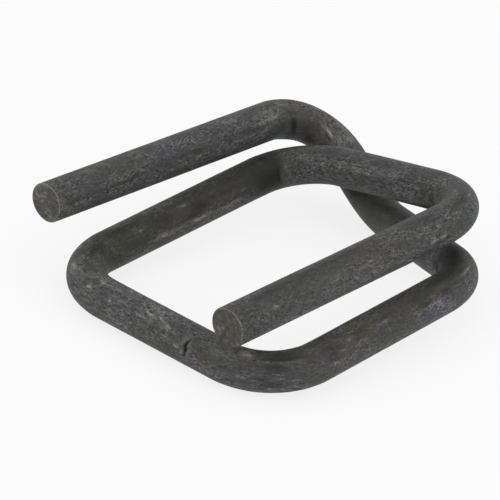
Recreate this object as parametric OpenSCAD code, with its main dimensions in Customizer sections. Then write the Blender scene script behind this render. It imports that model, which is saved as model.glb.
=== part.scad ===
// Strapping buckle: one length of round wire bent into an open loop with two prongs.
// It lies as it comes to rest, on its left side and on the dip of its long side.
// The wire is followed from the cut end of the back prong to the cut end of the front prong:
// back prong, long side with its dip, front bar, left side, back bar, short side, front prong.

/* [Wire] */
// Diameter of the round wire
wire_d = 3.5; // [3:0.1:4]
// Radius of the six corner bends, at the middle of the wire
bend_r = 5.4; // [4.5:0.1:6]
// Radius of the shallow bend in the dip, at the middle of the wire
dip_r = 10.5; // [8:0.5:12]
// Amount by which the wire thins in its bends
bend_draw = 0.06; // [0.04:0.01:0.12]
// Broken edge round each cut end
end_edge = 0.3; // [0.1:0.05:0.6]

/* [Loop] */
// Distance from the front bar to the back bar, middle to middle
loop_depth = 24; // [22:0.5:28]
// Length of the front bar between its corner points, seen from above
front_bar = 24.6; // [22:0.1:27]
// Length of the back bar between its corner points, seen from above
back_bar = 29.5; // [28:0.1:33]
// Angle at which the two bars rise from the left side, which lies on the ground
loop_tilt = 5; // [3.5:0.5:6.5]

/* [Front prong] */
// Distance of the front prong behind the front bar, at its corner
front_prong_in = 2.9; // [2:0.1:4]
// Clear height between the front prong and the plane of the loop
front_prong_gap = 0.5; // [0.3:0.1:1.5]
// Angle at which the front prong runs back towards its cut end, seen from above
front_prong_skew = 2.5; // [0:0.5:4]
// Place of the front prong's cut end, to the right of the middle of the left side
front_prong_end = -1.3; // [-3:0.1:2]

/* [Back prong] */
// Distance of the back prong behind the back bar
back_prong_out = 2.3; // [2:0.1:4]
// Height by which the level back prong falls short of a wire's height above the back bar's right corner
back_prong_low = 0.4; // [-0.4:0.1:0.6]
// Place of the back prong's cut end, to the right of the middle of the left side
back_prong_end = -0.1; // [-3:0.1:2]

/* [Long side] */
// Clear width between the short side and the corner of the back prong, seen from above
corner_clear = 1; // [0.8:0.1:2.5]
// Clear gap where the long side crosses under the short side
cross_gap = 0.2; // [0.1:0.05:0.6]
// Distance from the back bar to the corner point of the dip
dip_back = 7.2; // [6.6:0.1:9]

/* [Tool marks] */
// Distance of the mark from the start of each corner bend, along the middle of the wire
mark_at = 1.6; // [0.8:0.1:3]
// Depth of the mark on the inside of the bend
mark_depth = 0.24; // [0.1:0.02:0.4]
// Radius of the tool's edge
mark_r = 0.4; // [0.2:0.05:0.8]

/* [Nick] */
// Distance of the nick in the left side from the front bar
nick_at = 8.1; // [7:0.1:16]
// Width of the nick at the surface of the wire
nick_w = 0.32; // [0.1:0.02:0.6]
// Depth of the nick
nick_depth = 0.16; // [0.05:0.01:0.4]
// Angle of the nick above level, on the outer face of the left side
nick_turn = 18; // [-30:1:60]

/* [Hidden] */
$fn = 96;

wire_r = wire_d / 2;
bend_lap = 0.3;
bar_rise = tan(loop_tilt);

function unit(v) = v / norm(v);
function turn_of(a, b) = atan2(norm(cross(a, b)), a * b);

// Points of the middle line in a bend of radius r round corner b, on its way from a to c
bend_samples = 24;
function bend_points(a, b, c, r) =
    let (u = unit(b - a), v = unit(c - b), turn = turn_of(u, v))
    let (out = cross(u, unit(cross(u, v))), start = b - u * r * tan(turn / 2))
    [
        for (s = [0 : bend_samples])
            let (t = turn * s / bend_samples)
            start + r * ((cos(t) - 1) * out + sin(t) * u)
    ];

// Corner points of the wire's middle line, with the left side along Y at height zero
front_left = [0, 0, 0];
back_left = [0, loop_depth, 0];
front_right = [front_bar, 0, front_bar * bar_rise];
back_right = [back_bar, loop_depth, back_bar * bar_rise];

front_prong_run = back_bar - front_prong_end;
front_corner = [back_bar, front_prong_in, back_right.z + wire_d + front_prong_gap];
front_tip = front_corner + front_prong_run * [-1, tan(front_prong_skew), -bar_rise];

back_corner = [
    back_bar + wire_d + corner_clear,
    loop_depth + back_prong_out,
    back_right.z + wire_d - back_prong_low
];
back_tip = [back_prong_end, back_corner.y, back_corner.z];

// The short side and its back bend, past which the long side has to clear
short_bend = bend_points(back_left, back_right, front_corner, bend_r);
short_start = short_bend[bend_samples];
short_side = concat(
    short_bend,
    [for (s = [1 : bend_samples]) short_start + (front_corner - short_start) * s / bend_samples]
);

// The dip is moved out until the long side clears the short side, and down until it meets the ground
seat_passes = 12;
gap_per_shift = 0.6;
function closest(line_a, line_b) = min([for (p = line_a) for (q = line_b) norm(p - q)]);
function seated(dip, passes) =
    let (
        low_bend = bend_points(back_corner, dip, front_right, dip_r),
        long_side = concat(bend_points(back_tip, back_corner, dip, bend_r), low_bend),
        short_of_gap = wire_d + cross_gap - closest(long_side, short_side),
        lift = min([for (p = low_bend) p.z]) + bend_draw / 2
    )
    passes == 0 ? dip : seated(dip + [short_of_gap / gap_per_shift, 0, -lift], passes - 1);
dip = seated([back_bar + wire_r, loop_depth - dip_back, 0], seat_passes);

corners = [
    back_tip, back_corner, dip, front_right, front_left,
    back_left, back_right, front_corner, front_tip
];
bends = len(corners) - 2;
dip_bend = 1;
bend_radii = [for (i = [0 : bends - 1]) i == dip_bend ? dip_r : bend_r];

// Directions of the runs, then the turn, the axis and the corner allowance of each bend
ways = [for (i = [0 : bends]) unit(corners[i + 1] - corners[i])];
turns = [for (i = [0 : bends - 1]) turn_of(ways[i], ways[i + 1])];
axes = [for (i = [0 : bends - 1]) unit(cross(ways[i], ways[i + 1]))];
allow = [for (i = [0 : bends - 1]) bend_radii[i] * tan(turns[i] / 2)];

// Straight length of each run between its bends, less the broken edge at a cut end
function given(list, i) = i < 0 || i >= len(list) ? end_edge : list[i];
runs = [
    for (i = [0 : bends])
        norm(corners[i + 1] - corners[i]) - given(allow, i - 1) - given(allow, i)
];

// Twist of the wire about its own middle line between one bend and the next
twists = [
    for (i = [0 : bends - 1])
        i == 0 ? 0
        : atan2(axes[i] * cross(ways[i], axes[i - 1]), axes[i] * axes[i - 1])
];

// Middle of the box on the ground, from the bends, the outer face of the left side and the cut ends
bent_line = [
    for (i = [0 : bends - 1]) each bend_points(corners[i], corners[i + 1], corners[i + 2], bend_radii[i])
];
left_x = min(front_left.x - wire_r, front_tip.x, back_tip.x);
right_x = max([for (p = bent_line) p.x]) + wire_r;
front_y = min([for (p = bent_line) p.y]);
back_y = max([for (p = bent_line) p.y]);
ground_centre = [(left_x + right_x) / 2, (front_y + back_y) / 2, -wire_r];

// Straight wire of the given length, along +Y
module straight(length) {
    rotate([-90, 0, 0])
        cylinder(h = length, d = wire_d);
}

// Cut end with its broken edge, from the cut face along +Y
module cut_end() {
    rotate([-90, 0, 0])
        cylinder(h = end_edge, d1 = wire_d - 2 * end_edge, d2 = wire_d);
}

// Places the children at the end of a bend that starts along +Y and turns towards -X
module past_bend(radius, turn) {
    translate([-radius, 0, 0])
        rotate([0, 0, turn])
            translate([radius, 0, 0])
                children();
}

// The thinner wire of a bend, which reaches a little way into the straight runs on both sides
module bend(radius, turn) {
    lap = bend_lap / radius * 180 / PI;
    translate([-radius, 0, 0])
        rotate([0, 0, -lap])
            rotate_extrude(angle = turn + 2 * lap)
                translate([radius, 0])
                    circle(d = wire_d - bend_draw);
}

// Edge of the bending tool, pressed across the inside of a bend
module tool_edge(radius) {
    inside = radius - (wire_d - bend_draw) / 2;
    translate([-radius, 0, 0])
        rotate([0, 0, mark_at / radius * 180 / PI])
            translate([inside + mark_depth - mark_r, 0, 0])
                cylinder(h = wire_d, r = mark_r, center = true);
}

// Bend i with its tool mark; the shallow bend of the dip has none
module marked_bend(i) {
    difference() {
        bend(bend_radii[i], turns[i]);
        if (i != dip_bend)
            tool_edge(bend_radii[i]);
    }
}

// The wire from the start of run i to the cut end of the front prong
module wire_from(i) {
    straight(runs[i]);
    translate([0, runs[i], 0])
        if (i < bends)
            rotate([0, twists[i], 0]) {
                marked_bend(i);
                past_bend(bend_radii[i], turns[i])
                    wire_from(i + 1);
            }
        else
            translate([0, end_edge, 0])
                mirror([0, 1, 0])
                    cut_end();
}

// The whole wire, laid from the cut end of the back prong
module wire() {
    side = cross(ways[0], axes[0]);
    frame = [
        for (r = [0 : 2]) [side[r], ways[0][r], axes[0][r], back_tip[r]]
    ];
    multmatrix(frame) {
        cut_end();
        translate([0, end_edge, 0])
            wire_from(0);
    }
}

// Short vee cut straight across the outer face of the left side
module nick() {
    chord = 2 * sqrt(wire_r * wire_r - pow(wire_r - nick_depth, 2));
    past = nick_depth;
    slope = nick_w / 2 / nick_depth;
    translate([0, nick_at, 0])
        rotate([0, nick_turn, 0])
            translate([-wire_r, 0, 0])
                linear_extrude(2 * chord, center = true)
                    polygon([
                        [nick_depth, 0],
                        [-past, slope * (nick_depth + past)],
                        [-past, -slope * (nick_depth + past)]
                    ]);
}

module buckle_wire() {
    color("#4b4b49")
        translate(-ground_centre)
            difference() {
                wire();
                nick();
            }
}

buckle_wire();
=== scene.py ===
"""Looks of a strapping buckle: one bent steel wire with a matt phosphate skin, on a white studio floor."""

import logging
import math
from collections.abc import Mapping, Sequence
from dataclasses import dataclass, field
from enum import Enum
from typing import Any

import bpy
import numpy as np
from mathutils import Matrix, Vector, noise


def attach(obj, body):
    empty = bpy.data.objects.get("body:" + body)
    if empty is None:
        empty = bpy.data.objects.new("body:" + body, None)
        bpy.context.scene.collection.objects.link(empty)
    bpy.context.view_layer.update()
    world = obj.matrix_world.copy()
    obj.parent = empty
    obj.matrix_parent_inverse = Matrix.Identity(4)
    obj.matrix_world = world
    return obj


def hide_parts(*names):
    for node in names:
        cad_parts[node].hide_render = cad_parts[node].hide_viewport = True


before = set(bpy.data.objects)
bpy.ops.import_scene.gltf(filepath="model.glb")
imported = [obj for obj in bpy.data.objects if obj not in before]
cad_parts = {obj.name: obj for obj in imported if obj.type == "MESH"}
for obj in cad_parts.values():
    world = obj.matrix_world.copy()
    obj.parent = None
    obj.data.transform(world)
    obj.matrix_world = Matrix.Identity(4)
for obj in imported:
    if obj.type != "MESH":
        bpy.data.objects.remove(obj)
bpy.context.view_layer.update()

MM = 0.001
PHOTO_SIDE = 500
STRAIGHTENED = "straightened"
Colour = tuple[float, float, float]
Spot = tuple[float, ...]
log = logging.getLogger("buckle")

# The search for the dip of the long side, as the solid does it
BEND_SAMPLES = 24
SEAT_PASSES = 12
GAP_PER_SHIFT = 0.6
DIP_CORNER = 2

# Length over which the skin thins into a bend, and length, turn and width of the swelling at a tool mark
BEND_EASE = 1.2
SWELL_LENGTH = 1.9
SWELL_TURN = 55.0
SWELL_WIDTH = 22.0

# Rings of a cut end: places across its face, then angle, painted highlight and share of face round its sharp
# edge
END_SHRINK = 0.02
FACE_RINGS = (0.02, 0.22, 0.42, 0.6, 0.76, 0.88, 0.96)
EDGE_RINGS = ((80.0, 0.5, 0.5), (55.0, 1.0, 0.0), (30.0, 0.6, 0.0), (8.0, 0.1, 0.0))

# Share of face on a rolled edge where it meets the side of the wire, and its gain up to the face
ROLLED_FACE = 0.2
ROLLED_GAIN = 0.6

# Bends with a tool mark, and the smallest cosine that a mark is measured with, near the wire's side
CORNER_BENDS = 6
LEAST_COSINE = 0.05

# Depth in millimetres over which a tool mark comes to show with a little painted shade, and share of its
# depth over which the painted shade of the nick does
PRESSED_FADE = (0.0, 0.1)
GROOVE_FADE = (0.1, 0.6)

# Middle of a noise, shares of its seed along the three axes, and numbers of a Mix node's colour sockets
NOISE_MIDDLE = 0.5
SEED_SHARES = (1.0, 0.7, 0.4)
MIX_UNDER = 6
MIX_OVER = 7
MIX_RESULT = 2


class Run(Enum):
    """The runs of the wire, straight and bent in turn, from the cut end of the back prong."""

    BACK_PRONG = 0
    BACK_CORNER = 1
    LONG_SIDE_FALL = 2
    DIP = 3
    LONG_SIDE_RISE = 4
    FRONT_RIGHT = 5
    FRONT_BAR = 6
    FRONT_LEFT = 7
    LEFT_SIDE = 8
    BACK_LEFT = 9
    BACK_BAR = 10
    BACK_RIGHT = 11
    SHORT_SIDE = 12
    FRONT_CORNER = 13
    FRONT_PRONG = 14


class Layer(Enum):
    """What a spot of the wire carries, each kept as a value on the mesh that its finish reads."""

    RUST = "rust"
    OLIVE = "olive"
    VIOLET = "violet"
    TEAL = "teal"
    PALE = "pale"
    # sooty stains, and painted shadow and shade where other parts or recesses keep light off
    SOOT_AND_SHADE = "soot"
    # chalky flecks and scuffed spots, and painted light on spots in shade
    CHALK_AND_LIGHT = "chalk"
    SMOOTH = "smooth"
    # depth of the tool marks, which also carries a little painted shade
    PRESSED = "pressed"
    CUT = "cut"
    # painted highlight along the sharp edge of a cut end
    RIM = "rim"
    # painted shade in the depth of the nick
    GROOVE = "groove"


def unit(v: np.ndarray) -> np.ndarray:
    """The direction of a vector."""
    return v / np.linalg.norm(v)


def wrapped(degrees: np.ndarray) -> np.ndarray:
    """Angles brought to the range from -180 to 180."""
    return (degrees + 180.0) % 360.0 - 180.0


def ramp(x: np.ndarray, low: float, high: float) -> np.ndarray:
    """A smooth rise from 0 at low to 1 at high."""
    t = np.clip((x - low) / (high - low), 0.0, 1.0)
    return t * t * (3.0 - 2.0 * t)


def facing(azimuth: float, elevation: float) -> Vector:
    """The direction from the buckle to a place round it; azimuth counts from the front to the right."""
    a, e = math.radians(azimuth), math.radians(elevation)
    return Vector((math.sin(a) * math.cos(e), -math.cos(a) * math.cos(e), math.sin(e)))


def placed(name: str, data: bpy.types.ID) -> bpy.types.Object:
    """Makes an object and puts it in the scene.

    Args:
        name: The object's name.
        data: Its mesh, light or camera.

    Returns:
        The object.
    """
    made = bpy.data.objects.new(name, data)
    bpy.context.scene.collection.objects.link(made)
    return made


@dataclass(frozen=True)
class Waves:
    """Unevenness of a surface: mean depth and size along the wire and across in millimetres, and a seed."""

    depth: float
    size: tuple[float, float, float]
    seed: float

    def at(self, places: np.ndarray) -> np.ndarray:
        """How far the surface lies in.

        Args:
            places: Points on the straightened wire, in millimetres.

        Returns:
            One depth for each point, from about 0 to twice the mean.
        """
        scaled = places / np.array(self.size) + self.seed
        flat = [noise.noise(Vector(p)) for p in scaled.reshape(-1, 3)]
        return self.depth * (1.0 + np.array(flat).reshape(places.shape[:-1]))


@dataclass(frozen=True)
class WireSizes:
    """Sizes of the bent wire in millimetres and degrees, as its solid has them."""

    wire_d: float = 3.5
    bend_r: float = 5.4
    dip_r: float = 10.5
    bend_draw: float = 0.06
    mark_at: float = 1.6
    mark_depth: float = 0.24
    mark_r: float = 0.4
    loop_depth: float = 24.0
    front_bar: float = 24.6
    back_bar: float = 29.5
    loop_tilt: float = 5.0
    front_prong_in: float = 2.9
    front_prong_gap: float = 0.5
    front_prong_skew: float = 2.5
    front_prong_end: float = -1.3
    back_prong_out: float = 2.3
    back_prong_low: float = 0.4
    back_prong_end: float = -0.1
    corner_clear: float = 1.0
    cross_gap: float = 0.2
    dip_back: float = 7.2
    nick_at: float = 8.1
    nick_turn: float = 18.0

    @property
    def wire_r(self) -> float:
        """Radius of the wire."""
        return self.wire_d / 2

    def corners(self) -> list[np.ndarray]:
        """Works out the corner points of the wire's middle line.

        Returns:
            The points from the cut end of the back prong on, with the left side along Y at height zero.
        """
        rise = math.tan(math.radians(self.loop_tilt))
        skew = math.tan(math.radians(self.front_prong_skew))
        front_left = np.zeros(3)
        back_left = np.array([0.0, self.loop_depth, 0.0])
        front_right = np.array([self.front_bar, 0.0, self.front_bar * rise])
        back_right = np.array([self.back_bar, self.loop_depth, self.back_bar * rise])
        top = back_right[2] + self.wire_d
        front_corner = np.array([self.back_bar, self.front_prong_in, top + self.front_prong_gap])
        front_tip = front_corner + (self.back_bar - self.front_prong_end) * np.array([-1.0, skew, -rise])
        back_corner = np.array(
            [
                self.back_bar + self.wire_d + self.corner_clear,
                self.loop_depth + self.back_prong_out,
                top - self.back_prong_low,
            ]
        )
        back_tip = np.array([self.back_prong_end, back_corner[1], back_corner[2]])
        short_bend = Stretch.bend(back_left, back_right, front_corner, self.bend_r)
        short_run = np.linspace(short_bend.end(), front_corner, BEND_SAMPLES + 1)
        short_side = np.vstack([short_bend.spaced(), short_run])
        dip = self.seated_dip(back_tip, back_corner, front_right, short_side)
        return [
            back_tip, back_corner, dip, front_right, front_left,
            back_left, back_right, front_corner, front_tip,
        ]

    def seated_dip(
        self, back_tip: np.ndarray, back_corner: np.ndarray, front_right: np.ndarray, short_side: np.ndarray
    ) -> np.ndarray:
        """Moves the dip out until the long side clears the short side, and down until it meets the ground.

        Args:
            back_tip: Cut end of the back prong.
            back_corner: Corner between the back prong and the long side.
            front_right: Corner between the long side and the front bar.
            short_side: Points on the middle line of the short side and its back bend.

        Returns:
            The corner point of the dip.
        """
        dip = np.array([self.back_bar + self.wire_r, self.loop_depth - self.dip_back, 0.0])
        for _ in range(SEAT_PASSES):
            low_bend = Stretch.bend(back_corner, dip, front_right, self.dip_r).spaced()
            corner_bend = Stretch.bend(back_tip, back_corner, dip, self.bend_r).spaced()
            long_side = np.vstack([corner_bend, low_bend])
            apart = np.linalg.norm(long_side[:, None] - short_side[None], axis=2).min()
            shift = (self.wire_d + self.cross_gap - apart) / GAP_PER_SHIFT
            dip = dip + np.array([shift, 0.0, -low_bend[:, 2].min() - self.bend_draw / 2])
        return dip


@dataclass(frozen=True)
class Stretch:
    """One straight run or one bend of the wire's middle line."""

    start: np.ndarray
    way: np.ndarray
    out: np.ndarray
    length: float
    radius: float

    @classmethod
    def bend(cls, a: np.ndarray, b: np.ndarray, c: np.ndarray, radius: float) -> "Stretch":
        """Lays a bend round a corner.

        Args:
            a: A point that the wire comes from.
            b: The corner.
            c: A point that it goes to.
            radius: Radius of the bend.

        Returns:
            The bend, without the straight runs on both sides.
        """
        u, v = unit(b - a), unit(c - b)
        turn = math.atan2(np.linalg.norm(np.cross(u, v)), u @ v)
        out = np.cross(u, unit(np.cross(u, v)))
        return cls(b - u * radius * math.tan(turn / 2), u, out, radius * turn, radius)

    @classmethod
    def straight(cls, a: np.ndarray, b: np.ndarray) -> "Stretch":
        """The straight run from a to b."""
        return cls(a, unit(b - a), np.zeros(3), float(np.linalg.norm(b - a)), math.inf)

    def at(self, along: np.ndarray) -> tuple[np.ndarray, np.ndarray]:
        """Points and directions of the middle line.

        Args:
            along: Distances from the start of this stretch.

        Returns:
            The points, and the direction of the wire at each.
        """
        if math.isinf(self.radius):
            return self.start + along[:, None] * self.way, np.tile(self.way, (len(along), 1))
        sine = np.sin(along / self.radius)[:, None]
        cosine = np.cos(along / self.radius)[:, None]
        points = self.start + self.radius * ((cosine - 1.0) * self.out + sine * self.way)
        return points, cosine * self.way - sine * self.out

    def spaced(self) -> np.ndarray:
        """Evenly spaced points from the start to the end."""
        return self.at(np.linspace(0.0, self.length, BEND_SAMPLES + 1))[0]

    def end(self) -> np.ndarray:
        """The far end."""
        return self.at(np.array([self.length]))[0][0]


@dataclass(frozen=True)
class LineSample:
    """The middle line at a row of stations, in the part's frame, in millimetres.

    Bent rises to 1 inside a bend, and the inner turn says in degrees where the inside of the bend lies.
    """

    points: np.ndarray
    ways: np.ndarray
    ups: np.ndarray
    sides: np.ndarray
    bent: np.ndarray
    inner_turn: np.ndarray


class MiddleLine:
    """The middle line of the whole wire: straight runs and bends, one after the other."""

    def __init__(self, sizes: WireSizes) -> None:
        """Lays the runs and the bends between the corner points.

        Args:
            sizes: Sizes of the bent wire.
        """
        corners = sizes.corners()
        last = len(corners) - 1
        self.stretches: list[Stretch] = []
        start = corners[0]
        for i in range(1, last):
            radius = sizes.dip_r if i == DIP_CORNER else sizes.bend_r
            bend = Stretch.bend(corners[i - 1], corners[i], corners[i + 1], radius)
            self.stretches += [Stretch.straight(start, bend.start), bend]
            start = bend.end()
        self.stretches.append(Stretch.straight(start, corners[last]))
        self.marks = np.concatenate([[0.0], np.cumsum([s.length for s in self.stretches])])
        corner_starts = [self.marks[k] for k, s in enumerate(self.stretches) if s.radius == sizes.bend_r]
        self.tool_marks = np.array(corner_starts) + sizes.mark_at
        bends = np.vstack([s.spaced() for s in self.stretches[1::2]])
        left = min(-sizes.wire_r, corners[0][0], corners[last][0])
        low = np.array([left, bends[:, 1].min(), -sizes.wire_r])
        high = np.array([bends[:, 0].max() + sizes.wire_r, bends[:, 1].max(), -sizes.wire_r])
        self.ground_centre = (low + high) / 2

    @property
    def length(self) -> float:
        """Length of the whole wire."""
        return float(self.marks[-1])

    def station(self, run: Run, along: float) -> float:
        """Distance from the wire's start of a place on a run; past its end lies the next run."""
        return float(self.marks[run.value]) + along

    def sample(self, stations: np.ndarray) -> LineSample:
        """Evaluates the middle line.

        Args:
            stations: Rising distances from the wire's start.

        Returns:
            Points and directions, how far the wire is into a bend, and on which side the inside of its own or
            the next bend lies.
        """
        count = len(stations)
        which = np.clip(np.searchsorted(self.marks, stations, side="right") - 1, 0, len(self.stretches) - 1)
        points, ways, inner = np.zeros((count, 3)), np.zeros((count, 3)), np.zeros((count, 3))
        bent = np.zeros(count)
        for k, stretch in enumerate(self.stretches):
            here = which == k
            along = stations[here] - self.marks[k]
            points[here], ways[here] = stretch.at(along)
            if not math.isinf(stretch.radius):
                bent[here] = ramp(np.minimum(along, stretch.length - along), 0.0, BEND_EASE)
                centre = stretch.start - stretch.radius * stretch.out
                inner[here] = (centre - points[here]) / stretch.radius
            elif k + 1 < len(self.stretches):
                inner[here] = -self.stretches[k + 1].out
        ups = np.array([0.0, 0.0, 1.0]) - ways[:, 2:3] * ways
        ups /= np.linalg.norm(ups, axis=1)[:, None]
        sides = np.cross(ways, ups)
        inner_turn = np.degrees(np.arctan2((inner * sides).sum(1), (inner * ups).sum(1)))
        return LineSample(points - self.ground_centre, ways, ups, sides, bent, inner_turn)


class Shade:
    """A shader socket that takes part in Python arithmetic: each operation adds its Math node."""

    def __init__(self, tree: "ShaderTree", socket: bpy.types.NodeSocket | None) -> None:
        """Wraps a socket of a tree."""
        self.tree = tree
        self.socket = socket

    def _math(self, operation: str, first: "Shade | float", second: "Shade | float") -> "Shade":
        """Adds a Math node of two values."""
        return self.tree.add("ShaderNodeMath", {"operation": operation}, {0: first, 1: second})

    def __add__(self, other: "Shade | float") -> "Shade":
        """Sum."""
        return self._math("ADD", self, other)

    def __radd__(self, other: float) -> "Shade":
        """Sum with a number first."""
        return self._math("ADD", other, self)

    def __sub__(self, other: "Shade | float") -> "Shade":
        """Difference."""
        return self._math("SUBTRACT", self, other)

    def __rsub__(self, other: float) -> "Shade":
        """Difference from a number."""
        return self._math("SUBTRACT", other, self)

    def __mul__(self, other: "Shade | float") -> "Shade":
        """Product."""
        return self._math("MULTIPLY", self, other)

    def __rmul__(self, other: float) -> "Shade":
        """Product with a number first."""
        return self._math("MULTIPLY", other, self)

    def at_least(self, other: "Shade | float") -> "Shade":
        """The larger of two values."""
        return self._math("MAXIMUM", self, other)

    def at_most(self, other: "Shade | float") -> "Shade":
        """The smaller of two values."""
        return self._math("MINIMUM", self, other)

    @property
    def swing(self) -> "Shade":
        """How far a noise lies above or below its middle."""
        return self - NOISE_MIDDLE

    def size(self) -> "Shade":
        """The value without its sign."""
        return self._math("ABSOLUTE", self, 0.0)

    def between(self, low: float, high: float) -> "Shade":
        """A smooth rise from 0 at low to 1 at high."""
        inputs = {"Value": self, "From Min": low, "From Max": high}
        return self.tree.add("ShaderNodeMapRange", {"interpolation_type": "SMOOTHSTEP"}, inputs)


@dataclass(frozen=True)
class Grain:
    """Noise on the straightened wire, with its size across the wire in millimetres.

    The stretch says how much longer it is along the wire, the detail how many finer layers it has, and the
    lean how far it shifts along the wire for each millimetre across. The seed sets it apart from others.
    """

    size: float
    stretch: float
    detail: float
    seed: float
    lean: float = 0.0


class ShaderTree:
    """A node tree that is filled node by node."""

    def __init__(self, tree: bpy.types.NodeTree) -> None:
        """Empties the tree.

        Args:
            tree: The node tree of a material or a world.
        """
        tree.nodes.clear()
        self.tree = tree

    def add(
        self,
        kind: str,
        settings: Mapping[str, Any] | None = None,
        inputs: Mapping[int | str, Any] | None = None,
        output: int | str = 0,
    ) -> Shade:
        """Adds a node, sets it and feeds it.

        Args:
            kind: The node's type.
            settings: The node's own settings, which are set first.
            inputs: Values or links of its sockets, by name or number.
            output: The socket to hand back.

        Returns:
            The wanted output, ready for arithmetic.
        """
        node = self.tree.nodes.new(kind)
        for name, value in (settings or {}).items():
            setattr(node, name, value)
        for key, value in (inputs or {}).items():
            if isinstance(value, Shade):
                self.tree.links.new(value.socket, node.inputs[key])
            else:
                node.inputs[key].default_value = value
        return Shade(self, node.outputs[output] if len(node.outputs) else None)

    def layer(self, layer: Layer) -> Shade:
        """A value kept on the mesh."""
        return self.add("ShaderNodeAttribute", {"attribute_name": layer.value}, output="Fac")

    def vector(self, operation: str, *values: Any, output: int | str = 0) -> Shade:
        """Adds a Vector Math node."""
        return self.add("ShaderNodeVectorMath", {"operation": operation}, dict(enumerate(values)), output)

    def cloud(self, place: Shade, grain: Grain) -> Shade:
        """Noise on the straightened wire.

        Args:
            place: The place on the straightened wire.
            grain: Size, stretch and lean of the noise.

        Returns:
            The noise, which swings about its middle.
        """
        if grain.lean:
            shift = self.vector("DOT_PRODUCT", place, (0.0, grain.lean, -grain.lean), output="Value")
            place = self.vector("ADD", place, self.add("ShaderNodeCombineXYZ", {}, {0: shift}))
        scale = (1.0 / (grain.size * grain.stretch), 1.0 / grain.size, 1.0 / grain.size)
        start = tuple(share * grain.seed for share in SEED_SHARES)
        scaled = self.vector("MULTIPLY_ADD", place, scale, start)
        return self.add("ShaderNodeTexNoise", {}, {"Vector": scaled, "Scale": 1.0, "Detail": grain.detail})

    def mixed(
        self, under: Shade | Colour, over: Shade | Colour, share: Shade | float, blend: str = "MIX"
    ) -> Shade:
        """One colour laid over another.

        Args:
            under: The colour below.
            over: The colour on top.
            share: How much of it covers.
            blend: How it covers; "MULTIPLY" tints what is below.

        Returns:
            The mixed colour.
        """
        lower, upper = (c if isinstance(c, Shade) else (*c, 1.0) for c in (under, over))
        settings = {"data_type": "RGBA", "blend_type": blend, "clamp_factor": True}
        return self.add("ShaderNodeMix", settings, {0: share, MIX_UNDER: lower, MIX_OVER: upper}, MIX_RESULT)


@dataclass(frozen=True)
class PhosphateSkin:
    """Matt phosphate on drawn steel wire, with its stained spots, painted shade and painted light; colours
    are linear, and tints multiply them.
    """

    name: str = "phosphate_skin"
    dark_grey: Colour = (0.017, 0.017, 0.017)
    pale_grey: Colour = (0.101, 0.101, 0.101)
    olive_tint: Colour = (0.97, 0.96, 0.80)
    stain_tint: Colour = (0.76, 0.75, 0.61)
    violet_tint: Colour = (1.06, 1.02, 1.20)
    teal_tint: Colour = (0.86, 1.06, 1.06)
    rust_tint: Colour = (1.01, 0.86, 0.78)
    pale_tint: Colour = (1.55, 1.55, 1.52)
    # colour of sooty stains and of painted shade
    soot: Colour = (0.013, 0.013, 0.0115)
    # colour of chalky flecks, scuffed spots and painted light
    chalk: Colour = (0.24, 0.24, 0.225)
    cut_face: Colour = (0.064, 0.062, 0.052)
    cut_blotch: Colour = (0.150, 0.148, 0.138)
    # colour of the painted highlight along the sharp edge of the cut ends
    rim_highlight: Colour = (0.21, 0.20, 0.175)
    roughness: float = 0.62
    gloss: float = 0.25
    bump_strength: float = 0.55
    bump_height: float = 0.00006
    sheet: Grain = Grain(1.5, 2.0, 2.0, 3.0)
    drift: Grain = Grain(2.4, 1.8, 2.0, 17.0)
    vein: Grain = Grain(0.38, 1.7, 2.0, 29.0, 0.5)
    thread: Grain = Grain(0.16, 2.0, 0.5, 37.0, -0.6)
    worm: Grain = Grain(0.30, 1.9, 1.0, 83.0, -0.4)
    scratch: Grain = Grain(0.10, 7.0, 1.0, 67.0, 0.2)
    grit: Grain = Grain(0.10, 1.7, 0.5, 53.0, 0.3)

    def material(self) -> bpy.types.Material:
        """Makes the material.

        Returns:
            The material, which reads the layers of the wire's mesh.
        """
        made = bpy.data.materials.new(self.name)
        made.use_nodes = True
        SkinShader(self, ShaderTree(made.node_tree)).dress()
        return made


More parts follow.
